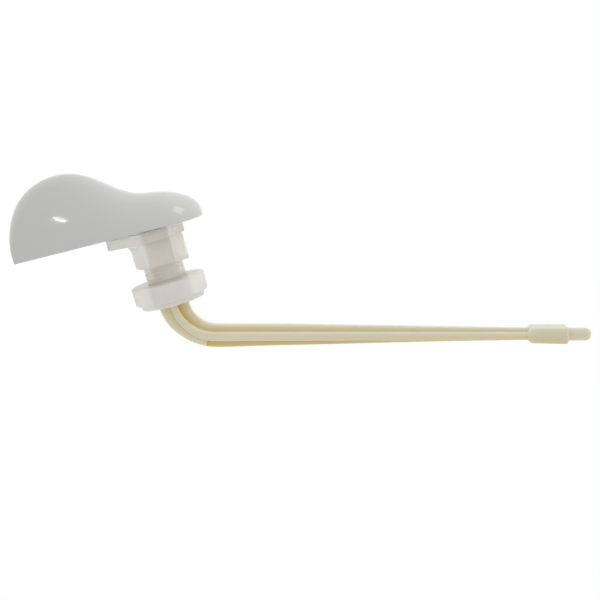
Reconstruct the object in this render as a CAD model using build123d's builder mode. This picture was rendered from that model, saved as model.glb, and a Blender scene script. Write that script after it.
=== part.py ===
from build123d import *
import os
from math import cos, radians, sin, sqrt

# Cistern flush lever: a hollow handle outside the wall, a bush that is clamped through the wall by a
# lock nut, and an arm that turns in the bush and lifts the flush valve at its far end.
#
# Millimetres. The origin is on the shank's axis, on the face of the bush that seats on the wall.
# +Y runs along the shank into the cistern, +Z is up, the handle points along +X and the arm along -X.
# "Out" in a name is a distance from the wall towards the user, so it is measured along -Y.

# Handle: a moulded shell, open towards the wall
handle_reach = 56.0  # shank axis to the middle of the paddle's end
handle_tail = 20.9  # shank axis to the round end
paddle_width = 30.0
tail_width = 27.0
bulge_out = 34.35  # highest point of the paddle, from the wall
bulge_place = 32.7  # where it stands, from the shank axis
saddle_out = 17.7  # height of the low part over the shank
handle_wall = 2.4
rim_gap_paddle = 1.9  # the rim leans: it stands further off the flange's level at the paddle
rim_gap_tail = 0.3
paddle_end_radius = 62.0  # the paddle's end is slightly round in plan
rim_trim = 2.0
crown_fullness = 2.4  # exponent of the rounded cross-section, 2 being an ellipse
tail_fullness = 0.7  # exponent of the round end in plan, 1 being a circle and less being squarer

# Bush: flange, square neck and threaded tube in one moulding
flange_land = 0.1  # what the flange's disc covers past the corners of the neck
flange_thick = 4.0
flange_edge = 0.5
ear_reach = 19.1  # shank axis to the end of the ear on the flange
ear_width = 5.8  # across the ear's end
hub_room = 0.9  # between the hub and the inside of the handle
hub_height = 2.5
neck_side = 17.9
neck_corner = 1.8
neck_length = 10.5
neck_turn = 23.0  # degrees that the square is turned about the shank from the handle's line
thread_diameter = 16.0  # over the crests
thread_length = 16.1
tube_lead = 0.8
bore_diameter = 10.6

# Stop lug on the ear, which runs between two ribs inside the handle
lug_inset = 1.1  # from the ear's end
lug_length = 4.0
lug_width = 5.0
lug_height = 5.0
lever_stroke = 30.0  # degrees from rest to the end of the flush
stop_clearance = 0.25
stop_rib_thick = 1.8
stop_rib_reach = 24.0

# Lock nut: a round body with a smaller round step on its inner side
nut_stand = 6.75  # end of the neck to the nut's near face, as drawn
nut_radius = 14.85
nut_body = 7.2
nut_draft = 0.2  # the body is this much smaller in radius at its inner end
nut_round = 0.65
nut_shoulder = 1.95  # how far the step is set in from the body's inner end
nut_step = 2.2
nut_step_round = 0.7
nut_clearance = 0.25
nut_lead = 0.7

# Arm: round journal, squared stem, bend, cross-section beam, end block and tip in one moulding
journal_clearance = 0.05
thrust_clearance = 0.3
boss_wall = 2.1
stem_relief = 0.15  # the stem's corners inside the journal's circle
stem_length = 7.5
stem_lead = 0.6
socket_clearance = 0.05
bend_lead = 0.4  # shoulder to the start of the bend
bend_radius = 17.0  # on the centre line
bend_turn = 74.8  # degrees that the bend turns the arm from the shank's line
shoulder_step = 0.75  # the arm's shoulder past the bore
# the web's two edges from the centre line: half way round the bend, at the bend's end and at the block
web_outer_middle = 4.9
web_outer_bend = 4.75
web_outer_end = 1.95
web_inner_middle = 5.2
web_inner_bend = 4.4
web_inner_end = 2.42
web_thick = 3.0
# half the ribs' width: at the shoulder, half way round the bend, at the bend's end and at the block
rib_half_start = 1.4
rib_half_middle = 1.75
rib_half_bend = 2.1
rib_half_end = 1.65
rib_depth = 7.8  # across both ribs
rib_round = 0.5
# the pad that thickens the web along the outside of the bend
pad_turn = 63.0  # degrees of the bend that it covers
pad_set = 0.3  # set back from the web's edge at the shoulder
pad_middle = 4.85
pad_end = 4.4
pad_thick = 5.8
block_place = 133.2  # end of the bend to the middle of the block
block_length = 14.4
block_height = 6.5
block_depth = 10.6
block_round = 0.8
block_slope = 1.4
block_slope_angle = 22.0
tip_radius = 2.6
tip_length = 8.8  # past the block

# Sizes that follow from the ones above
tube_radius = thread_diameter / 2
bore_radius = bore_diameter / 2
journal_radius = bore_radius - journal_clearance
neck_reach = sqrt(2) * (neck_side / 2 - neck_corner) + neck_corner
flange_radius = neck_reach + flange_land
tail_radius = tail_width / 2
hub_radius = tail_radius - handle_wall - hub_room
tube_end = neck_length + thread_length
nut_place = neck_length + nut_stand
nut_bore = tube_radius + nut_clearance
nut_step_radius = nut_radius - nut_draft - nut_shoulder
lug_place = ear_reach - lug_inset - lug_length / 2
stem_reach = journal_radius - stem_relief
stem_side = sqrt(2) * stem_reach
boss_radius = stem_reach + boss_wall
shoulder_half = bore_radius + shoulder_step
tip_end = block_place + block_length / 2 + block_slope + tip_length
rim_out_paddle = flange_thick + rim_gap_paddle
rim_out_tail = flange_thick + rim_gap_tail
hub_out = flange_thick + hub_height
boss_out = hub_out + thrust_clearance
shoulder_in = tube_end + thrust_clearance
bend_start = shoulder_in + bend_lead
tail_centre = tail_radius - handle_tail
crown_base = rim_out_tail - rim_trim  # the form is lofted past the rim and cut back to it

# The crown's line from the paddle's end to the bulge: place as a share of the way from the bulge to
# the end, and height as a share of the bulge's
paddle_fall = [
    (1.051, 0.19),
    (0.982, 0.36),
    (0.926, 0.52),
    (0.825, 0.68),
    (0.638, 0.835),
    (0.364, 0.95),
    (0.0, 1.0),
]
# From the bulge to the shank: place as a share of the bulge's, and height as a share of the rise
# from the saddle to the bulge
saddle_fall = [
    (0.75, 0.93),
    (0.52, 0.68),
    (0.32, 0.366),
    (0.22, 0.224),
    (0.12, 0.114),
    (0.05, 0.064),
    (-0.03, 0.027),
]
# Round end: angles in degrees along the end, and heights as shares of the saddle's
tail_angles = (0, 30, 55, 74, 85)
tail_fall = (0.95, 0.785, 0.585, 0.38, 0.22)
# Where the points of a cross-section's curve stand, in degrees from its top
section_angles = (82, 66, 44, 22)


def half_width(x):
    # straight sides that draw in from the paddle to the round end
    share = (x - tail_centre) / (handle_reach - tail_centre)
    return (tail_width + share * (paddle_width - tail_width)) / 2


def crown_stations(inset):
    # place, half width and height of each cross-section, from the paddle's end to the round end
    stations = []
    for share, height in paddle_fall:
        x = bulge_place + share * (handle_reach - bulge_place)
        stations.append((x, half_width(x) - inset, bulge_out * height - inset))
    for share, height in saddle_fall:
        x = bulge_place * share
        top = saddle_out + height * (bulge_out - saddle_out)
        stations.append((x, half_width(x) - inset, top - inset))
    for angle, height in zip(tail_angles, tail_fall):
        x = tail_centre - (tail_radius - inset) * sin(radians(angle))
        top = crown_base + (saddle_out - crown_base - inset) * height
        stations.append((x, (tail_radius - inset) * cos(radians(angle)) ** tail_fullness, top))
    return stations


def crown_form(inset):
    # the handle's rounded outer form, or its hollow when it is inset by the wall
    power = 2 / crown_fullness
    with BuildPart() as form:
        for x, half, top in crown_stations(inset):
            with BuildSketch(Plane(origin=(x, 0, 0), x_dir=(0, 0, 1), z_dir=(1, 0, 0))):
                with BuildLine():
                    right = []
                    for angle in section_angles:
                        rise = (top - crown_base) * cos(radians(angle)) ** power
                        right.append((half * sin(radians(angle)) ** power, crown_base + rise))
                    left = [(-z, out) for z, out in reversed(right)]
                    ends = [(half, crown_base), (-half, crown_base)]
                    Spline(ends[0], *right, (0, top), *left, ends[1])
                    Line(ends[1], ends[0])
                make_face()
        loft()
        # the paddle's end wall: a slow curve in plan
        with BuildSketch(Plane.XZ):
            with Locations((handle_reach - paddle_end_radius, 0)):
                Circle(paddle_end_radius - inset)
            with Locations((-handle_reach / 2, 0)):
                Rectangle(handle_reach + 2 * handle_tail, 2 * paddle_width)
        extrude(amount=2 * bulge_out, mode=Mode.INTERSECT)
    return form.part


# Handle: shell, boss for the stem and the two stop ribs
outer_form = crown_form(0)
hollow_form = crown_form(handle_wall)
rim_rise = (rim_out_paddle - rim_out_tail) / (handle_reach + handle_tail)
rim_start = (-handle_tail, -rim_out_tail, 0)
rim_plane = Plane(origin=rim_start, x_dir=(1, -rim_rise, 0), z_dir=(-rim_rise, -1, 0))

with BuildPart() as handle_core:
    with BuildSketch(Plane.XZ.offset(boss_out)):
        Circle(boss_radius)
    extrude(amount=bulge_out)
    rib_offset = lug_width / 2 + stop_clearance + stop_rib_thick / 2
    for turn, side in ((0, -1), (lever_stroke, 1)):
        with BuildSketch(Plane.XZ.offset(boss_out)):
            with PolarLocations(0, 1, start_angle=turn):
                with Locations((stop_rib_reach / 2, side * rib_offset)):
                    Rectangle(stop_rib_reach, stop_rib_thick)
        extrude(amount=bulge_out)
    add(outer_form, mode=Mode.INTERSECT)

with BuildPart() as handle:
    add(outer_form)
    add(hollow_form, mode=Mode.SUBTRACT)
    add(handle_core.part)
    split(bisect_by=rim_plane, keep=Keep.TOP)
    with BuildSketch(Plane.XZ.offset(boss_out)):
        Rectangle(stem_side + 2 * socket_clearance, stem_side + 2 * socket_clearance)
    extrude(amount=stem_length + socket_clearance, mode=Mode.SUBTRACT)

# Bush
with BuildPart() as mounting_bush:
    with BuildSketch(Plane.XZ):
        Circle(flange_radius)
        with Locations((ear_reach - lug_inset, 0)):
            Rectangle(2 * lug_inset, ear_width)
        make_hull()
    extrude(amount=flange_thick)
    fillet(edges().group_by(Axis.Y)[0], flange_edge)
    with BuildSketch(Plane.XZ):
        Rectangle(neck_side, neck_side, rotation=neck_turn)
        fillet(vertices(), neck_corner)
    extrude(amount=-neck_length)
    with BuildSketch(Plane.XZ):
        Circle(tube_radius)
    extrude(amount=-tube_end)
    chamfer(edges().group_by(Axis.Y)[-1], tube_lead)
    with BuildSketch(Plane.XZ.offset(flange_thick)):
        Circle(hub_radius)
    extrude(amount=hub_height)
    with BuildSketch(Plane.XZ.offset(flange_thick)):
        with Locations((lug_place, 0)):
            Rectangle(lug_length, lug_width)
    extrude(amount=lug_height)
    with BuildSketch(Plane.XZ.offset(hub_out)):
        Circle(bore_radius)
    extrude(amount=-hub_out - tube_end, mode=Mode.SUBTRACT)

# Lock nut
with BuildPart() as lock_nut:
    nut_middle = nut_place + nut_body
    nut_end = nut_middle + nut_step
    with BuildSketch(Plane.XY):
        with BuildLine():
            Polyline(
                (nut_bore + nut_lead, nut_place),
                (nut_radius, nut_place),
                (nut_radius - nut_draft, nut_middle),
                (nut_step_radius, nut_middle),
                (nut_step_radius, nut_end),
                (nut_bore + nut_lead, nut_end),
                (nut_bore, nut_end - nut_lead),
                (nut_bore, nut_place + nut_lead),
                close=True,
            )
        make_face()
        corners = vertices().sort_by(Axis.X)
        step_corner = corners[-4:-2].sort_by(Axis.Y)[-1]
        fillet(corners[-2:], nut_round)
        fillet(step_corner, nut_step_round)
    revolve(axis=Axis.Y)


def bend_line(turn):
    # the way that the arm runs at a turn along the bend
    return Vector(-sin(radians(turn)), cos(radians(turn)))


def bend_side(turn):
    # the way out of the bend at a turn along it
    return Vector(cos(radians(turn)), sin(radians(turn)))


def bend_point(turn, reach):
    # a point at a turn along the bend, its reach counted outwards from the centre line
    return Vector(-bend_radius, bend_start) + bend_side(turn) * (bend_radius + reach)


def arm_strip(outer, inner):
    # outline in the bend's plane of one plate of the arm, each edge given by its reach from the
    # centre line at the shoulder, half way round the bend, at the bend's end and at the block
    with BuildSketch(Plane.XY) as strip:
        with BuildLine():
            arm_side = bend_side(bend_turn)
            far = bend_point(bend_turn, 0) + bend_line(bend_turn) * block_place
            lines = []
            for side, (start, middle, bend, end) in ((1, outer), (-1, inner)):
                points = [
                    (side * start, shoulder_in),
                    bend_point(bend_turn / 2, side * middle),
                    bend_point(bend_turn, side * bend),
                ]
                lines.append(Spline(*points, tangents=[bend_line(0), bend_line(bend_turn)]))
                lines.append(Line(lines[-1] @ 1, far + arm_side * side * end))
            Line(lines[0] @ 0, lines[2] @ 0)
            Line(lines[1] @ 1, lines[3] @ 1)
        make_face()
    return strip.sketch


def arm_plane(along):
    # cross plane of the arm, its own x across the bend's plane and its own y in it
    place = bend_point(bend_turn, 0) + bend_line(bend_turn) * along
    return Plane(origin=place, x_dir=(0, 0, 1), z_dir=bend_line(bend_turn))


# Arm
with BuildPart() as lever_arm:
    rib_edge = (rib_half_start, rib_half_middle, rib_half_bend, rib_half_end)
    extrude(arm_strip(rib_edge, rib_edge), amount=rib_depth / 2, both=True)
    fillet(edges().group_by(Axis.Z)[0] + edges().group_by(Axis.Z)[-1], rib_round)
    web_outer = (shoulder_half, web_outer_middle, web_outer_bend, web_outer_end)
    web_inner = (shoulder_half, web_inner_middle, web_inner_bend, web_inner_end)
    extrude(arm_strip(web_outer, web_inner), amount=web_thick / 2, both=True)
    with BuildSketch(Plane.XY):
        with BuildLine():
            pad_points = [
                (shoulder_half - pad_set, shoulder_in),
                bend_point(pad_turn / 2, pad_middle),
                bend_point(pad_turn, pad_end),
            ]
            pad_edge = Spline(*pad_points, tangents=[bend_line(0), bend_line(pad_turn)])
            Line(pad_edge @ 1, bend_point(pad_turn, 0))
            ThreePointArc(bend_point(pad_turn, 0), bend_point(pad_turn / 2, 0), bend_point(0, 0))
            Polyline(bend_point(0, 0), (0, shoulder_in), pad_edge @ 0)
        make_face()
    extrude(amount=pad_thick / 2, both=True)
    with BuildSketch(Plane.XZ.offset(-bend_start)):
        Circle(journal_radius)
    extrude(amount=bend_start + boss_out)
    with BuildSketch(Plane.XZ.offset(boss_out)):
        Rectangle(stem_side, stem_side)
    extrude(amount=stem_length)
    chamfer(edges().group_by(Axis.Y)[0], stem_lead)
    for end in (1, -1):
        with BuildSketch(arm_plane(block_place)):
            RectangleRounded(block_depth, block_height, block_round)
        extrude(amount=end * block_length / 2)
        with BuildSketch(arm_plane(block_place + end * block_length / 2)):
            RectangleRounded(block_depth, block_height, block_round)
        extrude(amount=end * block_slope, taper=block_slope_angle)
    with BuildSketch(arm_plane(block_place)):
        Circle(tip_radius)
    extrude(amount=tip_end - tip_radius - block_place)
    with Locations(arm_plane(tip_end - tip_radius)):
        Sphere(tip_radius)

handle.part.label = "handle"
mounting_bush.part.label = "mounting_bush"
lock_nut.part.label = "lock_nut"
lever_arm.part.label = "lever_arm"

os.makedirs("parts", exist_ok=True)
export_step(handle.part, "parts/handle.step")
export_step(mounting_bush.part, "parts/mounting_bush.step")
export_step(lock_nut.part, "parts/lock_nut.step")
export_step(lever_arm.part, "parts/lever_arm.step")
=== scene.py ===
import math

import bpy
import numpy as np
from mathutils import Matrix


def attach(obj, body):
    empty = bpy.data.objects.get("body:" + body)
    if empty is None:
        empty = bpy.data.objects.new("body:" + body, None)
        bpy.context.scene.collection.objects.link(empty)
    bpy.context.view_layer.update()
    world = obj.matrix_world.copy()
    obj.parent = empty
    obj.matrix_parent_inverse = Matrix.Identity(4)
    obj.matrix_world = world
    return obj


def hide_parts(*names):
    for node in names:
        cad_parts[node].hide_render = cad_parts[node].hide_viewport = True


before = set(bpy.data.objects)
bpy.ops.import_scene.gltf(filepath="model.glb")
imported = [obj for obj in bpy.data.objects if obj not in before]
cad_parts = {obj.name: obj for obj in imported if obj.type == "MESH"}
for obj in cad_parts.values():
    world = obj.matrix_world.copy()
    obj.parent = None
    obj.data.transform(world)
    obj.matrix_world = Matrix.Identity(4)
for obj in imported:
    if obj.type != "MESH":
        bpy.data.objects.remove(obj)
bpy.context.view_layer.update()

print("frame loaded")

mm = 0.001  # metres


# grids and curves

def spline(known, values, at):
    # natural cubic curve through the known points, evaluated at other places
    known = np.asarray(known, float)
    values = np.asarray(values, float)
    step = np.diff(known)
    slope = np.diff(values) / step
    count = len(known)
    system = np.eye(count)
    right = np.zeros(count)
    inner = np.arange(1, count - 1)
    system[inner, inner - 1] = step[:-1]
    system[inner, inner] = 2 * (step[:-1] + step[1:])
    system[inner, inner + 1] = step[1:]
    right[1:-1] = 6 * np.diff(slope)
    bend = np.linalg.solve(system, right)
    at = np.asarray(at, float)
    i = np.clip(np.searchsorted(known, at) - 1, 0, count - 2)
    a = at - known[i]
    b = known[i + 1] - at
    curve = (bend[i] * b ** 3 + bend[i + 1] * a ** 3) / (6 * step[i])
    fromStart = (values[i] / step[i] - bend[i] * step[i] / 6) * b
    fromEnd = (values[i + 1] / step[i] - bend[i + 1] * step[i] / 6) * a
    return curve + fromStart + fromEnd


def table(rows):
    # places and values of a list of pairs
    return np.array(rows).T


def softMin(a, b, blend):
    # the smaller of two values, with the edge between them rounded
    share = np.clip(0.5 + 0.5 * (b - a) / blend, 0, 1)
    return b + (a - b) * share - blend * share * (1 - share)


def ease(x, low, high):
    # 0 below low, 1 above high and a smooth rise between
    t = np.clip((x - low) / (high - low), 0, 1)
    return t * t * (3 - 2 * t)


def quarterRound(steps):
    # angles of a quarter turn, both ends included
    return np.linspace(0, math.pi / 2, steps)


def fullTurn(count):
    # angles of a whole turn, without the last that meets the first
    return np.linspace(0, 2 * math.pi, count, endpoint=False)


def aroundShank(radius, y, angle):
    # points at a radius and an angle about the shank's axis, y along it
    return np.stack(np.broadcast_arrays(radius * np.cos(angle), y, radius * np.sin(angle)), -1)


def squareReach(half, angle):
    # distance from the middle of a square to its side: half its width over the larger of cosine and sine
    return half / np.maximum(np.abs(np.cos(angle)), np.abs(np.sin(angle)))


def gridFaces(rows, columns, wrapRows, wrapColumns):
    # point numbers of the four corners of every cell
    i = np.arange(rows - (not wrapRows))[:, None]
    j = np.arange(columns - (not wrapColumns))[None]
    k = (i + 1) % rows
    m = (j + 1) % columns
    corners = [i * columns + j, i * columns + m, k * columns + m, k * columns + j]
    return np.stack(corners, -1).reshape(-1, 4)


def capped(rings):
    # a tube of rings closed at both ends by a point in the middle of its end ring
    first = np.broadcast_to(rings[:1].mean(1, keepdims=True), rings[:1].shape)
    last = np.broadcast_to(rings[-1:].mean(1, keepdims=True), rings[-1:].shape)
    return np.concatenate([first, rings, last])


def roundedLoop(corners, radii, steps=4):
    # a closed polygon per row, each corner turned into an arc of its radius or as much as its edges allow
    mostOfEdge = 0.48
    before = np.roll(corners, 1, axis=1) - corners
    after = np.roll(corners, -1, axis=1) - corners
    longBefore = np.linalg.norm(before, axis=2, keepdims=True)
    longAfter = np.linalg.norm(after, axis=2, keepdims=True)
    radius = np.minimum(radii[None, :, None], mostOfEdge * np.minimum(longBefore, longAfter))
    a = (before / longBefore)[:, :, None]
    b = (after / longAfter)[:, :, None]
    turn = quarterRound(steps)[None, None, :, None]
    arc = corners[:, :, None] + radius[:, :, None] * (a * (1 - np.sin(turn)) + b * (1 - np.cos(turn)))
    return arc.reshape(len(corners), -1, 2)


def closedSkin(grid, wrapRows, wrapColumns):
    # points of one grid with doubles joined, its cells turned outward, and the share of painted shade at each
    # point
    rows, columns, numbers = grid.shape
    flat = np.round(grid[..., :3].reshape(-1, 3), 5)
    single, first, where = np.unique(flat, axis=0, return_index=True, return_inverse=True)
    paintedShade = grid[..., 3].reshape(-1)[first] if numbers == 4 else np.zeros(len(single))
    faces = where.reshape(-1)[gridFaces(rows, columns, wrapRows, wrapColumns)]
    a, b, c, d = (single[faces[:, k]] for k in range(4))
    volume = np.einsum("ij,ij->i", a, np.cross(b, c)) + np.einsum("ij,ij->i", a, np.cross(c, d))
    return single, faces[:, ::-1] if volume.sum() < 0 else faces, paintedShade


def addPiece(name, grids, material, node, body, sharp=38):
    # one object of closed grids in mm, each with its wraps
    # a fourth number at a point is its share of painted shade, which the material may read
    skins = [closedSkin(*grid) for grid in grids]
    points = np.concatenate([skin[0] for skin in skins]) * mm
    offsets = np.cumsum([0] + [len(skin[0]) for skin in skins])
    quads = np.concatenate([skin[1] + offset for skin, offset in zip(skins, offsets)])
    paintedShade = np.concatenate([skin[2] for skin in skins])
    # a cell with one side of no length becomes a triangle, and one with more is dropped
    same = quads == np.roll(quads, -1, axis=1)
    whole = quads[same.sum(1) == 0]
    bent = quads[same.sum(1) == 1]
    at = same[same.sum(1) == 1].argmax(1)
    triangles = bent[np.arange(len(bent))[:, None], (at[:, None] + np.array([1, 2, 3])) % 4]
    corners = np.concatenate([whole.reshape(-1), triangles.reshape(-1)])
    sides = np.concatenate([np.full(len(whole), 4), np.full(len(triangles), 3)])
    mesh = bpy.data.meshes.new(name)
    mesh.vertices.add(len(points))
    mesh.vertices.foreach_set("co", points.astype(np.float32).reshape(-1))
    mesh.loops.add(len(corners))
    mesh.loops.foreach_set("vertex_index", corners.astype(np.int32))
    mesh.polygons.add(len(sides))
    mesh.polygons.foreach_set("loop_start", (np.cumsum(sides) - sides).astype(np.int32))
    mesh.polygons.foreach_set("use_smooth", np.ones(len(sides), dtype=bool))
    mesh.update(calc_edges=True)
    mesh.validate()
    mesh.set_sharp_from_angle(angle=math.radians(sharp))
    mesh.materials.append(material)
    # a per-point share of painted shade, which the arm's material turns into golden shade
    shadeShare = mesh.attributes.new("paintedShade", "FLOAT", "POINT")
    shadeShare.data.foreach_set("value", paintedShade.astype(np.float32))
    piece = bpy.data.objects.new(name, mesh)
    bpy.context.scene.collection.objects.link(piece)
    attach(piece, body)
    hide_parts(node)
    print(name, len(points), "points", len(whole) * 2 + len(triangles), "triangles")
    return piece


# colours and nodes

def fromHex(text):
    # linear colour of an sRGB hex value
    c = np.array([int(text[i:i + 2], 16) for i in (1, 3, 5)]) / 255
    return (*np.where(c <= 0.04045, c / 12.92, ((c + 0.055) / 1.055) ** 2.4), 1.0)


def addNode(tree, kind, settings=None, links=None):
    # a node with its inputs or properties set and its inputs linked
    made = tree.nodes.new(kind)
    for key, value in (settings or {}).items():
        if key in made.inputs:
            made.inputs[key].default_value = value
        else:
            setattr(made, key, value)
    for key, source in (links or {}).items():
        tree.links.new(source, made.inputs[key])
    return made


def newMaterial(name):
    # an empty material and its node tree
    material = bpy.data.materials.new(name)
    material.use_nodes = True
    material.node_tree.nodes.clear()
    return material, material.node_tree


glossLook = {"colour": "#D0D0CD", "roughness": 0.07, "bending": 1.52}
naturalLook = {
    "colour": "#FFFDF6", "roughness": 0.3, "surfaceBending": 1.3,
    "scatterMm": 3.0, "scatterColours": (1.0, 0.95, 0.85),
    # share of light that goes straight through, how much it blurs and how much it bends
    "bush": 0.46, "nut": 0.4, "blur": 0.85, "bending": 1.03,
}
creamLook = {
    # the second colour is a golden painted shade for the arm's hollows and the strip in the rib's shadow
    "face": "#E9E4D0", "paintedShadeColour": "#E1C97B", "roughness": 0.34, "bending": 1.46,
    "scatter": 0.6, "scatterMm": 2.0, "scatterColours": (1.0, 0.92, 0.75),
}


def glossAbs():
    # polished injection-moulded ABS: opaque white with clear, sharp reflections
    look = glossLook
    material, tree = newMaterial("white ABS, polished moulding")
    shader = addNode(tree, "ShaderNodeBsdfPrincipled", {
        "Base Color": fromHex(look["colour"]), "Roughness": look["roughness"], "IOR": look["bending"]})
    addNode(tree, "ShaderNodeOutputMaterial", links={"Surface": shader.outputs["BSDF"]})
    return material


def naturalPp(name, clear):
    # unpigmented polypropylene: milky, lets light through and shows the shaft inside as a soft dark core
    look = naturalLook
    material, tree = newMaterial(name)
    shader = addNode(tree, "ShaderNodeBsdfPrincipled", {
        "Base Color": fromHex(look["colour"]), "Roughness": look["roughness"], "IOR": look["surfaceBending"],
        "Subsurface Weight": 1.0, "Subsurface Radius": look["scatterColours"],
        "Subsurface Scale": look["scatterMm"] * mm})
    through = addNode(tree, "ShaderNodeBsdfRefraction", {
        "Color": fromHex(look["colour"]), "Roughness": look["blur"], "IOR": look["bending"]})
    milky = addNode(tree, "ShaderNodeMixShader", {"Fac": clear}, {
        1: shader.outputs["BSDF"], 2: through.outputs[0]})
    addNode(tree, "ShaderNodeOutputMaterial", links={"Surface": milky.outputs[0]})
    return material


def creamAcetal():
    # moulded cream acetal: satin, with golden painted shade mixed into its colour in the hollows, in the
    # rib's shadow and on the parts hidden in the bush
    look = creamLook
    material, tree = newMaterial("cream acetal, satin moulding")
    shadeShare = addNode(tree, "ShaderNodeAttribute", {"attribute_name": "paintedShade"})
    colour = addNode(tree, "ShaderNodeMix", {"data_type": "RGBA"})
    tree.links.new(shadeShare.outputs["Fac"], colour.inputs[0])
    colour.inputs[6].default_value = fromHex(look["face"])  # the mix node's first and second colour
    colour.inputs[7].default_value = fromHex(look["paintedShadeColour"])
    shader = addNode(tree, "ShaderNodeBsdfPrincipled", {
        "Roughness": look["roughness"], "IOR": look["bending"], "Subsurface Weight": look["scatter"],
        "Subsurface Radius": look["scatterColours"], "Subsurface Scale": look["scatterMm"] * mm},
        {"Base Color": colour.outputs[2]})
    addNode(tree, "ShaderNodeOutputMaterial", links={"Surface": shader.outputs["BSDF"]})
    return material


handleMaterial = glossAbs()
bushMaterial = naturalPp("natural polypropylene, bush moulding", naturalLook["bush"])
nutMaterial = naturalPp("natural polypropylene, nut moulding", naturalLook["nut"])
armMaterial = creamAcetal()
print("materials made")

# handle

handleSizes = {
    "reach": 56.0, "tail": 20.85, "paddleWidth": 30.0, "tailWidth": 27.0, "bulge": 34.35, "bulgePlace": 32.7,
    "saddle": 18.0, "wall": 2.4, "rimPaddle": 5.9, "rimTail": 4.3, "endRadius": 62.0, "endRound": 1.2,
    "base": 2.3, "fullness": 2.4, "tailFullness": 0.7, "lip": 0.2, "lipShare": 0.16,
    # the crown's stations: share of the length from the bulge and of the height;
    # on the tail, degrees and share of the height
    "paddleFall": [
        (1.09, 0.1), (1.051, 0.19), (0.982, 0.36), (0.926, 0.52),
        (0.825, 0.68), (0.638, 0.835), (0.364, 0.95), (0.0, 1.0)],
    "saddleFall": [
        (0.75, 0.93), (0.52, 0.68), (0.32, 0.366), (0.22, 0.224),
        (0.12, 0.114), (0.05, 0.064), (-0.03, 0.027)],
    "tailFall": [(0, 0.95), (30, 0.785), (55, 0.585), (74, 0.38), (85, 0.22), (90, 0.1)],
    "bossRadius": 7.15, "bossOut": 6.8, "bossEdge": 0.3, "socketHalf": 3.62, "socketDepth": 7.55,
    "ribStart": 4.0, "ribReach": 24.0, "ribReachTurned": 19.2, "ribThick": 1.8, "ribEdge": 0.2,
    "ribOffset": 3.65, "stroke": 30.0, "letIn": 1.0,
    "rows": 170, "columns": 81, "crowding": 1.15, "bossSides": 96, "ribRows": 30,
}


def rimOut(x):
    # the rim's distance from the wall, in a straight line from tail to paddle
    h = handleSizes
    return h["rimTail"] + (h["rimPaddle"] - h["rimTail"]) * (x + h["tail"]) / (h["reach"] + h["tail"])


def crownLine(inset, share):
    # the crown's side view: a cubic curve through the stations by chord length, cut where it meets the rim
    h = handleSizes
    fineSteps = 2000
    radius = h["tailWidth"] / 2
    fallPlace, fallHeight = table(h["paddleFall"])
    saddlePlace, saddleHeight = table(h["saddleFall"])
    tailTurn, tailHeight = table(h["tailFall"])
    x = np.concatenate([
        h["bulgePlace"] + fallPlace * (h["reach"] - h["bulgePlace"]), h["bulgePlace"] * saddlePlace,
        radius - h["tail"] - (radius - inset) * np.sin(np.radians(tailTurn))])
    top = np.concatenate([
        h["bulge"] * fallHeight - inset, h["saddle"] + saddleHeight * (h["bulge"] - h["saddle"]) - inset,
        h["base"] + (h["saddle"] - h["base"] - inset) * tailHeight])
    along = np.concatenate([[0], np.cumsum(np.hypot(np.diff(x), np.diff(top)))])
    fine = np.linspace(0, along[-1], fineSteps)
    fineTop = spline(along, top, fine)
    low = rimOut(spline(along, x, fine)) + h["lip"]
    clear = np.flatnonzero(fineTop > low)
    start = fine[max(clear[0] - 1, 0)]
    end = fine[min(clear[-1] + 1, fineSteps - 1)]
    t = start + share * (end - start)
    return spline(along, x, t), spline(along, top, t)


def halfWidth(x, inset):
    # straight sides that draw in towards the round end, which is a squared circle in plan
    h = handleSizes
    radius = h["tailWidth"] / 2
    centre = radius - h["tail"]
    share = (x - centre) / (h["reach"] - centre)
    straight = (h["tailWidth"] + share * (h["paddleWidth"] - h["tailWidth"])) / 2 - inset
    past = np.clip((centre - x) / (radius - inset), 0, 1)
    return np.where(x > centre, straight, (radius - inset) * (1 - past ** 2) ** (h["tailFullness"] / 2))


def shellSide(inset):
    # cross-sections that are superellipse arcs from rim to rim: the half-width times a power of the sine
    # and the height times the same power of the cosine, cut at the paddle's end by a slow curve
    h = handleSizes
    least = 1e-6
    share = 0.5 - 0.5 * np.cos(np.linspace(0, math.pi, h["rows"]))
    x, top = crownLine(inset, share)
    half = halfWidth(x, inset)
    power = 2 / h["fullness"]
    low = rimOut(x) + h["lip"]
    rise = np.clip((low - h["base"]) / np.maximum(top - h["base"], least), 0, 1)
    most = np.arccos(rise ** (1 / power))
    v = np.linspace(-1, 1, h["columns"])
    turn = (np.sign(v) * np.abs(v) ** h["crowding"])[None] * most[:, None]
    z = half[:, None] * np.sign(turn) * np.abs(np.sin(turn)) ** power
    out = h["base"] + (top - h["base"])[:, None] * np.cos(turn) ** power
    end = h["reach"] - h["endRadius"] + np.sqrt((h["endRadius"] - inset) ** 2 - z ** 2)
    return np.stack([softMin(np.broadcast_to(x[:, None], z.shape), end, h["endRound"]), -out, z], -1)


def shellLip(a, b):
    # two edges on the rim's level between the ends of two skins
    share = handleSizes["lipShare"]
    flat = np.stack([a + share * (b - a), b + share * (a - b)], 1)
    flat[..., 1] = -rimOut(flat[..., 0])
    return flat


def shellGrid():
    # outer skin, lip, inner skin and the other lip as one loop per row
    outer = shellSide(0)
    inner = shellSide(handleSizes["wall"])
    firstLip = shellLip(outer[:, -1], inner[:, -1])
    secondLip = shellLip(inner[:, 0], outer[:, 0])
    return np.concatenate([outer, firstLip, inner[:, ::-1], secondLip], 1)


def crownAt(x, z, inset):
    # height of a skin over a point of the plan, on the superellipse of its cross-section
    h = handleSizes
    samples = 400
    nearSide = 0.999
    lineX, lineTop = crownLine(inset, np.linspace(0, 1, samples))
    order = np.argsort(lineX)
    top = np.interp(x, lineX[order], lineTop[order])
    level = np.clip(np.abs(z) / halfWidth(x, inset), 0, nearSide)
    return h["base"] + (top - h["base"]) * (1 - level ** h["fullness"]) ** (1 / h["fullness"])


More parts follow.
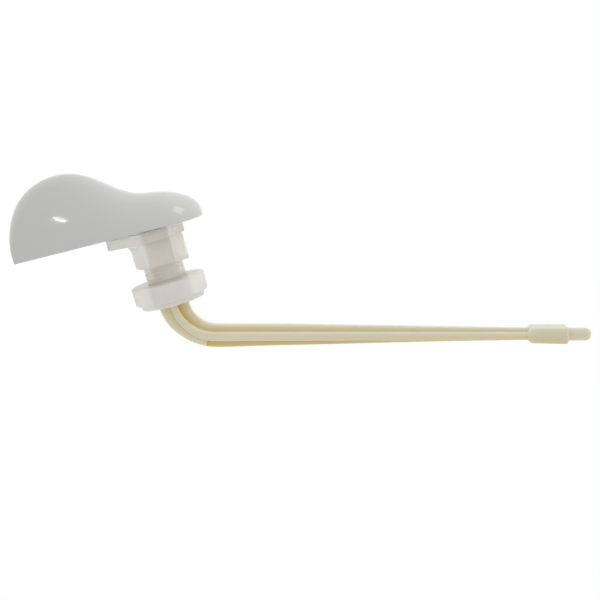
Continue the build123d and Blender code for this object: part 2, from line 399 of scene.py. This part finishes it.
def bossGrid():
    # a round post whose end opens into the square socket for the stem
    h = handleSizes
    angle = fullTurn(h["bossSides"])
    edge = h["bossEdge"]
    post = np.full(h["bossSides"], h["bossRadius"])
    square = squareReach(h["socketHalf"], angle)
    radii = np.stack([post, post, post - edge, square + edge, square, square])
    mouth = h["bossOut"]
    out = np.array([0, mouth + edge, mouth, mouth, mouth + edge, mouth + h["socketDepth"]])
    out = np.broadcast_to(out[:, None], radii.shape).copy()
    out[0] = crownAt(radii[0] * np.cos(angle), radii[0] * np.sin(angle), h["wall"]) + h["letIn"]
    return capped(aroundShank(radii, -out, angle))


def ribGrid(turn, side, reach):
    # a straight plate from the boss, its upper edge let into the crown's wall
    h = handleSizes
    along = np.linspace(h["ribStart"], reach, h["ribRows"])
    across = np.array([-0.5, -0.4, 0.4, 0.5, 0.5, -0.5]) * h["ribThick"]
    rise = np.array([1, 0, 0, 1, 0, 0]) * h["ribEdge"]
    atRoof = np.array([False, False, False, False, True, True])
    z0 = side * h["ribOffset"] + across[None]
    x0 = np.broadcast_to(along[:, None], (len(along), len(across)))
    x = x0 * math.cos(turn) - z0 * math.sin(turn)
    z = x0 * math.sin(turn) + z0 * math.cos(turn)
    roof = crownAt(x, z, h["wall"]) + h["letIn"]
    out = np.where(atRoof[None], roof, h["bossOut"] + rise[None])
    return capped(np.stack([x, -out, z], -1))


handleGrids = [
    (shellGrid(), False, True), (bossGrid(), False, True),
    (ribGrid(0, -1, handleSizes["ribReach"]), False, True),
    (ribGrid(math.radians(handleSizes["stroke"]), 1, handleSizes["ribReachTurned"]), False, True)]
addPiece("handleShell", handleGrids, handleMaterial, "handle", "lever")

# bush

bushSizes = {
    "flangeRadius": 12.01, "flangeThick": 4.4, "flangeEdge": 0.12, "seatEdge": 0.25,
    "earReach": 19.1, "earHalf": 2.9, "earRound": 0.8, "hubRadius": 10.2, "hubOut": 6.5, "hubEdge": 0.4,
    "neckHalf": 8.95, "neckCorner": 1.8, "neckLength": 10.5, "neckTurn": 23.0, "neckEdge": 0.35,
    # the root's fade is over the cosine of the angle from its middle
    "rootReach": 3.4, "rootHeight": 4.3, "rootGap": 0.35, "rootLeast": 0.02, "rootTurn": -2.0,
    "rootFade": (0.3, 0.85),
    "crest": 8.0, "threadDepth": 0.42, "pitch": 1.5, "threadPower": 0.8, "threadFade": (0.3, 1.4),
    "tubeEnd": 26.6, "lead": 0.8, "tubeEdge": 0.25, "tubeEdgeLong": 0.2, "bore": 5.3, "boreEdge": 0.3,
    "lugPlace": 16.0, "lugLength": 4.0, "lugWidth": 5.0, "lugOut": 9.0, "lugLetIn": 1.0, "lugRound": 0.3,
    "columns": 420, "ringsPerPitch": 10,
}


def flangeReach(angle):
    # a disc with an ear: two tangents that run to the ear's square end
    b = bushSizes
    leastCosine = 0.2
    turn = np.abs((angle + math.pi) % (2 * math.pi) - math.pi)
    corner = math.atan2(b["earHalf"], b["earReach"])
    lean = corner + math.acos(b["flangeRadius"] / math.hypot(b["earReach"], b["earHalf"]))
    end = b["earReach"] / np.maximum(np.cos(turn), leastCosine)
    edge = b["flangeRadius"] / np.cos(np.minimum(turn - lean, 0))
    return softMin(end, edge, b["earRound"])


def neckReach(angle):
    # a square with round corners, turned about the shank
    b = bushSizes
    turn = (angle - math.radians(b["neckTurn"]) + math.pi / 4) % (math.pi / 2) - math.pi / 4
    flat = b["neckHalf"] / np.cos(turn)
    c = b["neckHalf"] - b["neckCorner"]
    ahead = c * (np.cos(turn) + np.abs(np.sin(turn)))
    arc = ahead + np.sqrt(np.maximum(ahead ** 2 - 2 * c ** 2 + b["neckCorner"] ** 2, 0))
    return np.where(b["neckHalf"] * np.abs(np.tan(turn)) < c, flat, arc)


def bushGrid():
    # polar grid: hub, flange, root fillet as wide as the flange allows, square neck, helical thread and bore
    b = bushSizes
    angle = fullTurn(b["columns"])
    flange = flangeReach(angle)
    neck = neckReach(angle)
    rows = []

    def ring(radius, y):
        rows.append(aroundShank(radius, y, angle))
    ring(b["bore"] + b["boreEdge"], -b["hubOut"])
    ring(b["hubRadius"] - b["hubEdge"], -b["hubOut"])
    ring(b["hubRadius"], -b["hubOut"] + b["hubEdge"])
    ring(b["hubRadius"], -b["flangeThick"])
    e = b["flangeEdge"]
    for turn in quarterRound(5):
        ring(flange - e * (1 - math.sin(turn)), -b["flangeThick"] + e * (1 - math.cos(turn)))
    e = b["seatEdge"]
    for turn in quarterRound(5):
        ring(flange - e * (1 - math.cos(turn)), -e * (1 - math.sin(turn)))
    # quarter-round root, flattened to the land that the flange leaves beside the neck
    land = np.clip(flange - neck - b["rootGap"], b["rootLeast"], b["rootReach"])
    land = land * ease(np.cos(angle - math.radians(b["rootTurn"])), *b["rootFade"])
    land = np.maximum(land, b["rootLeast"])
    for turn in quarterRound(9):
        height = land / b["rootReach"] * b["rootHeight"] * (1 - math.cos(turn))
        ring(neck + land * (1 - math.sin(turn)), height)
    e = b["neckEdge"]
    for turn in quarterRound(5):
        ring(neck - e * (1 - math.cos(turn)), b["neckLength"] - e * (1 - math.sin(turn)))
    # thread: radius falls and rises once a pitch along the shank and turns with the angle
    root = b["crest"] - b["threadDepth"]
    fadeStart, fadeEnd = b["threadFade"]
    lastRing = b["tubeEnd"] - b["lead"] + 0.01  # just past the last place, so that it is kept
    for y in np.arange(b["neckLength"], lastRing, b["pitch"] / b["ringsPerPitch"]):
        wave = 0.5 + 0.5 * np.cos(2 * math.pi * (y / b["pitch"]) + angle)
        fade = ease(y, b["neckLength"] + fadeStart, b["neckLength"] + fadeEnd)
        ring(root + b["threadDepth"] * wave ** b["threadPower"] * fade, y)
    ring(root, b["tubeEnd"] - b["tubeEdgeLong"])
    ring(root - b["tubeEdge"], b["tubeEnd"])
    ring(b["bore"] + b["boreEdge"], b["tubeEnd"])
    ring(b["bore"], b["tubeEnd"] - b["boreEdge"])
    ring(b["bore"], -b["hubOut"] + b["boreEdge"])
    return np.stack(rows)


def boxGrid(low, high, blend):
    # a box along X whose section is a rounded rectangle and whose ends draw in
    x = np.array([0, 0.3, 1]) * blend
    x = np.concatenate([low[0] + x, high[0] - x[::-1]])
    inset = np.array([1, 0.3, 0, 0, 0.3, 1]) * blend
    lowY, lowZ = low[1] + inset, low[2] + inset
    highY, highZ = high[1] - inset, high[2] - inset
    corners = [(lowY, lowZ), (highY, lowZ), (highY, highZ), (lowY, highZ)]
    corners = np.stack([np.stack(corner, -1) for corner in corners], 1)
    loop = roundedLoop(corners, np.full(4, blend))
    return capped(np.concatenate([np.broadcast_to(x[:, None, None], loop.shape[:2] + (1,)), loop], -1))


def lugGrid():
    # the stop that the handle's ribs meet: a box that stands on the ear
    b = bushSizes
    low = (b["lugPlace"] - b["lugLength"] / 2, -b["lugOut"], -b["lugWidth"] / 2)
    high = (b["lugPlace"] + b["lugLength"] / 2, -b["flangeThick"] + b["lugLetIn"], b["lugWidth"] / 2)
    return boxGrid(low, high, b["lugRound"])


bushGrids = [(bushGrid(), True, True), (lugGrid(), False, True)]
addPiece("bushMoulding", bushGrids, bushMaterial, "mounting_bush", "bush")

# lock nut

nutSizes = {
    "place": 17.25, "radius": 14.83, "body": 7.2, "draft": 0.2, "round": 0.65,
    "stepRadius": 12.7, "step": 2.2, "stepRound": 0.7, "stepFoot": 0.25,
    "bore": 8.1, "lead": 0.25, "boreRound": 0.2, "sides": 200, "cornerSteps": 6,
}


def nutGrid():
    # one section with rounded corners, revolved about the shank
    n = nutSizes
    middle = n["place"] + n["body"]
    end = middle + n["step"]
    section = np.array([[
        (n["bore"] + n["lead"], n["place"]), (n["radius"], n["place"]), (n["radius"] - n["draft"], middle),
        (n["stepRadius"], middle), (n["stepRadius"], end), (n["bore"] + n["lead"], end),
        (n["bore"], end - n["lead"]), (n["bore"], n["place"] + n["lead"])]])
    r = n["boreRound"]
    radii = np.array([r, n["round"], n["round"], n["stepFoot"], n["stepRound"], r, r, r])
    loop = roundedLoop(section, radii, n["cornerSteps"])[0]
    return aroundShank(loop[:, 0], loop[:, 1], fullTurn(n["sides"])[:, None])


addPiece("lockNutRing", [(nutGrid(), True, True)], nutMaterial, "lock_nut", "nut")

# arm

armSizes = {
    "bendRadius": 17.0, "bendTurn": 74.8, "bendStart": 27.3, "shoulder": 26.9,
    "webThick": 3.0, "ribDepth": 7.8, "padTurn": 65.0, "padThick": 5.8, "padInset": 0.06, "webRise": 0.03,
    # reach of the edges from the centre line: distance past the bend's start, in mm along it, and reach
    "outer": [
        (0, 6.05), (5, 5.62), (11, 4.95), (17, 4.72), (22.2, 4.8),
        (34, 4.52), (60, 3.88), (100, 2.88), (155.2, 1.95)],
    "inner": [
        (0, 6.05), (5, 5.65), (11, 5.2), (17, 4.78), (22.2, 4.45),
        (34, 4.35), (66, 4.02), (100, 3.42), (155.2, 2.42)],
    "pad": [(0, 5.8), (5, 5.55), (9.4, 4.88), (18.7, 4.42), (200, 4.4)],
    "rib": [(0, 1.4), (5.5, 1.52), (11, 1.75), (17, 2.0), (22.2, 2.1), (155.2, 1.65)],
    "ribInner": [(0, 1.3), (11, 1.5), (22.2, 1.55), (155.2, 1.35)],
    "edge": 0.4, "padFoot": 0.15, "ribFoot": 0.6, "ribRound": 0.6, "ribFootInner": 0.7, "stripRound": 0.2,
    "blockStart": 124.6, "blockEnd": 141.8, "slope": 1.4, "blockDepth": 10.6, "blockHeight": 6.5,
    "blockDraft": 0.4, "blockRound": 0.8, "blockFlat": 0.1,
    "blockInset": [(0, 0.15), (0.15, 0.04), (0.4, 0)],  # distance from the block's end, and inset
    "tipRadius": 2.6, "tipEnd": 150.6,
    "journal": 5.25, "journalStep": 3.0, "stemHalf": 3.6, "stemInset": 0.15, "bossOut": 6.8,
    "stemLength": 7.5, "stemLead": 0.6, "stemDrawIn": 0.5, "journalSides": 96,
    # share of golden painted shade by distance past the bend's start: beam, ribs' outer edge and shoulder
    "paintedShadeBeam": [(0, 0.9), (22, 0.9), (60, 0.7), (110, 0.35), (155, 0.15)],
    "paintedShadeRib": [(22, 0.1), (60, 0.25), (155, 0.45)],
    "paintedShadeShoulder": [(0, 0.35), (6, 0.25), (16, 0)],
    # its shares at the nine corners of one face, from the outside of the bend to the inside
    "paintedShadeAlongPad": [0.1, 0.1, 0, 0.25, 0, 0.1, 0.75, 0.5, 0.1],
    "paintedShadePastPad": [0.85, 0.9, 0.95, 1.0, 0, 0.1, 0.65, 0.5, 0.12],
    "paintedShadeAtShoulder": [0.4, 0.4, 0.2, 1, 0, 0, 1, 0.5, 0.1],
    "paintedShadeBlock": [0.45, 0.45, 0.45, 0.45, 0.45, 0.05, 0.05, 0.05, 0.05],
    "paintedShadeTip": 0.25, "paintedShadeJournal": [0.2, 1, 1, 1, 1, 1],  # the journal's by ring
}


def armFrame(along):
    # points and outward directions of the centre line, an arc and then a straight, by distance past its start
    a = armSizes
    radius = a["bendRadius"]
    turn = np.clip(along / radius, 0, math.radians(a["bendTurn"]))
    past = along - turn * radius
    outward = np.stack([np.cos(turn), np.sin(turn)], -1)
    forward = np.stack([-np.sin(turn), np.cos(turn)], -1)
    return np.array([-radius, a["bendStart"]]) + outward * radius + forward * past[:, None], outward


def sweep(along, loops):
    # loops of (outward, across) points set on the centre line
    centre, outward = armFrame(along)
    plane = centre[:, None] + loops[..., :1] * outward[:, None]
    return np.concatenate([plane, loops[..., 1:]], -1)


def mirrored(face, radii):
    # the loop of one face's corners and the same corners on the other face, rounded
    loop = face + [(q, -z) for q, z in reversed(face)]
    return roundedLoop(np.stack([np.stack(p, -1) for p in loop], 1), np.array(radii + radii[::-1]))


def beamLoops(along, padLong):
    # a cross of web and rib whose reaches follow the tables, with the pad on the outside of the bend
    a = armSizes
    outer = spline(*table(a["outer"]), np.maximum(along, 0))
    inner = spline(*table(a["inner"]), np.maximum(along, 0))
    pad = np.minimum(np.interp(along, *table(a["pad"])), outer - a["padInset"])
    rib = np.interp(along, *table(a["rib"]))
    ribInner = np.interp(along, *table(a["ribInner"]))
    web = np.full_like(along, a["webThick"] / 2)
    deep = np.full_like(along, a["ribDepth"] / 2)
    thick = np.where(along <= padLong, a["padThick"] / 2, a["webThick"] / 2 + a["webRise"])
    strip = -0.6 * ribInner - 0.4 * inner  # a line on the inner web, nearer to the rib
    face = [
        (outer, web), (pad, web), (pad, thick), (rib, thick), (rib, deep),
        (-ribInner, deep), (-ribInner, web), (strip, web), (-inner, web)]
    radii = [
        a["edge"], a["padFoot"], a["edge"], a["ribFoot"], a["ribRound"],
        a["ribRound"], a["ribFootInner"], a["stripRound"], a["edge"]]
    return mirrored(face, radii)


def beamPaintedShade(along, padLong):
    # painted shade: full at the ribs' feet and on the lower strip past the pad, where the rib shades it, less
    # on the pad and towards the thin end
    a = armSizes
    ribEdge = 4  # the corner at the rib's outer edge
    onPad = (along <= padLong)[:, None]
    shadeShare = np.where(onPad, np.array(a["paintedShadeAlongPad"]), np.array(a["paintedShadePastPad"]))
    shadeShare = shadeShare * np.interp(along, *table(a["paintedShadeBeam"]))[:, None]
    shadeShare[:, ribEdge] += np.interp(along, *table(a["paintedShadeRib"]))
    shoulder = np.interp(along, *table(a["paintedShadeShoulder"]))[:, None]
    return shadeShare + shoulder * np.array(a["paintedShadeAtShoulder"])


def blockLoops(at):
    # a rounded rectangle, drafted on the side that the outside of the bend runs into
    a = armSizes
    inset = np.interp(np.minimum(at - at[0], at[-1] - at), *table(a["blockInset"]))
    high = a["blockHeight"] / 2 - inset
    deep = a["blockDepth"] / 2 - inset
    low = high - a["blockDraft"] * (at[-1] - at) / (at[-1] - at[0])
    face = [(low, share * deep) for share in (0.16, 0.32, 0.48, 0.64, 1)]
    face += [(-high, share * deep) for share in (1, 0.6, 0.4, 0.2)]
    flat = [a["blockFlat"]]
    return mirrored(face, flat * 4 + [a["blockRound"]] * 2 + flat * 3)


def armGrid():
    # one skin: the beam runs through short slopes into the block,
    # and the block into a pin that ends in half a ball: its radius times sine along and cosine across
    a = armSizes
    bendLong = math.radians(a["bendTurn"]) * a["bendRadius"]
    padLong = math.radians(a["padTurn"]) * a["bendRadius"]
    along = np.concatenate([
        [a["shoulder"] - a["bendStart"]], np.linspace(0, padLong, 48),
        [padLong + 0.02, padLong + 0.4],  # close rings for the pad's end
        np.linspace(padLong + 1, bendLong, 8), np.linspace(bendLong + 1, bendLong + a["blockStart"], 90)])
    beam = beamLoops(along, padLong)
    edges = np.array([0, 0.15, 0.4, 3])  # rings near the block's ends
    blockAt = np.concatenate([
        a["blockStart"] + a["slope"] + edges, a["blockEnd"] - a["slope"] - edges[::-1]])
    block = blockLoops(blockAt)
    turn = quarterRound(14)[1:]
    ball = a["tipEnd"] - a["tipRadius"]
    tipAt = np.concatenate([[a["blockEnd"], a["blockEnd"] + 1, ball], ball + a["tipRadius"] * np.sin(turn)])
    tipRadius = np.concatenate([np.full(3, a["tipRadius"]), a["tipRadius"] * np.cos(turn)])
    angle = np.arctan2(block[-1, :, 1], block[-1, :, 0])
    tip = tipRadius[:, None, None] * np.stack([np.cos(angle), np.sin(angle)], -1)
    # painted shade at the nine corners of a face, on both faces, four points to a corner
    blockPaintedShade = np.broadcast_to(a["paintedShadeBlock"], (len(blockAt), 9))
    tipPaintedShade = np.broadcast_to(a["paintedShadeTip"] * np.linspace(1, 0, 9), (len(tipAt), 9))
    shadeShare = np.concatenate([beamPaintedShade(along, padLong), blockPaintedShade, tipPaintedShade])
    shadeShare = np.repeat(np.concatenate([shadeShare, shadeShare[:, ::-1]], 1), 4, axis=1)
    places = np.concatenate([along, bendLong + blockAt, bendLong + tipAt])
    rings = sweep(places, np.concatenate([beam, block, tip]))
    return capped(np.concatenate([rings, shadeShare[..., None]], -1))


def journalGrid():
    # the round journal in the bush and the square stem in the handle's boss
    a = armSizes
    angle = fullTurn(a["journalSides"])
    square = np.minimum(squareReach(a["stemHalf"], angle), a["journal"] - a["stemInset"])
    circle = np.full(a["journalSides"], a["journal"])
    radii = np.stack([circle, circle, circle, square, square, square - a["stemDrawIn"]])
    start = a["bendStart"]
    step = -a["bossOut"]
    end = step - a["stemLength"]
    y = np.array([start, start - a["journalStep"], step, step, end + a["stemLead"], end])
    grid = aroundShank(radii, y[:, None], angle)
    # painted shade on the journal and stem, which lie in shade inside the bush and the handle's boss
    shadeShare = np.broadcast_to(np.array(a["paintedShadeJournal"])[:, None, None], radii.shape + (1,))
    return capped(np.concatenate([grid, shadeShare], -1))


armGrids = [(armGrid(), False, True), (journalGrid(), False, True)]
addPiece("armMoulding", armGrids, armMaterial, "lever_arm", "lever")

# stage

stageLook = {"backdropMm": -70, "sizeMm": 3000, "world": 0.71, "paperLight": 1.0}
white = (1, 1, 1, 1)


def larger(tree, a, b):
    # the larger of two values
    return addNode(tree, "ShaderNodeMath", {"operation": "MAXIMUM"}, {0: a, 1: b}).outputs[0]


def backdrop():
    # lit white paper: pure white to the camera, in reflections and through the plastic,
    # and a soft light from behind
    material, tree = newMaterial("white paper backdrop")
    path = addNode(tree, "ShaderNodeLightPath")
    seen = larger(tree, path.outputs["Is Camera Ray"], path.outputs["Is Glossy Ray"])
    seen = larger(tree, seen, path.outputs["Is Transmission Ray"])
    bright = addNode(tree, "ShaderNodeMapRange", {
        "To Min": stageLook["paperLight"], "To Max": 1.0}, {"Value": seen})
    glow = addNode(tree, "ShaderNodeEmission", {"Color": white}, {"Strength": bright.outputs["Result"]})
    addNode(tree, "ShaderNodeOutputMaterial", links={"Surface": glow.outputs[0]})
    half = stageLook["sizeMm"] * mm / 2
    z = stageLook["backdropMm"] * mm
    corners = [(-half, -half, z), (half, -half, z), (half, half, z), (-half, half, z)]
    mesh = bpy.data.meshes.new("paper")
    mesh.from_pydata(corners, [], [(0, 1, 2, 3)])
    mesh.materials.append(material)
    paperPlane = bpy.data.objects.new("paper", mesh)
    bpy.context.scene.collection.objects.link(paperPlane)


def studioWorld():
    # an even sky, white to the camera and dimmer as a light
    world = bpy.data.worlds.new("studio")
    bpy.context.scene.world = world
    world.use_nodes = True
    tree = world.node_tree
    tree.nodes.clear()
    seen = addNode(tree, "ShaderNodeLightPath").outputs["Is Camera Ray"]
    level = addNode(tree, "ShaderNodeMapRange", {
        "To Min": stageLook["world"], "To Max": 1.0}, {"Value": seen})
    sky = addNode(tree, "ShaderNodeBackground", {"Color": white}, {"Strength": level.outputs["Result"]})
    addNode(tree, "ShaderNodeOutputWorld", links={"Surface": sky.outputs[0]})


def placing(right, up, back, place):
    # matrix of three directions and a place, for a lamp or a camera that looks against back
    return Matrix([[right[i], up[i], back[i], place[i]] for i in range(3)] + [[0, 0, 0, 1]])


backdrop()
studioWorld()

lampLook = [
    # name, place in mm, aimed at in mm, size in mm, watts
    ("small front lamp", (107, -195, 574), (35, -15, 10), (9, 80), 0.045),
    ("low reflector", (-56.8, -62.4, 52.2), (-13, -9, 11), (36, 42), 0.0125),
]


def addLamp(name, place, aim, size, watts):
    # a rectangular area lamp turned towards a point
    light = bpy.data.lights.new(name, "AREA")
    light.shape = "RECTANGLE"
    light.size = size[0] * mm
    light.size_y = size[1] * mm
    light.energy = watts
    lamp = bpy.data.objects.new(name, light)
    place = np.array(place) * mm
    back = place - np.array(aim) * mm
    back = back / np.linalg.norm(back)
    side = np.cross((0, 0, 1), back)
    side = side / np.linalg.norm(side)
    lamp.matrix_world = placing(side, np.cross(back, side), back, place)
    bpy.context.scene.collection.objects.link(lamp)


for lampRow in lampLook:
    addLamp(*lampRow)

# camera: placed by lining up the shank's axis, the handle's outline and the arm with the photo
cameraLook = {
    "place": (-0.07563, -0.06547, 0.67519), "right": (-0.96484, 0.26287, 0.00249),
    "up": (-0.25995, -0.95265, -0.15784), "back": (-0.03912, -0.15293, 0.98747),
    "lens": 102.72, "sensor": 36, "nearest": 0.01,
}
camera = bpy.data.cameras.new("camera")
camera.lens = cameraLook["lens"]
camera.sensor_width = cameraLook["sensor"]
camera.clip_start = cameraLook["nearest"]
cameraObject = bpy.data.objects.new("camera", camera)
cameraObject.matrix_world = placing(*(cameraLook[key] for key in ("right", "up", "back", "place")))
bpy.context.scene.collection.objects.link(cameraObject)
bpy.context.scene.camera = cameraObject
bpy.context.scene.view_settings.view_transform = "Standard"
print("stage set")
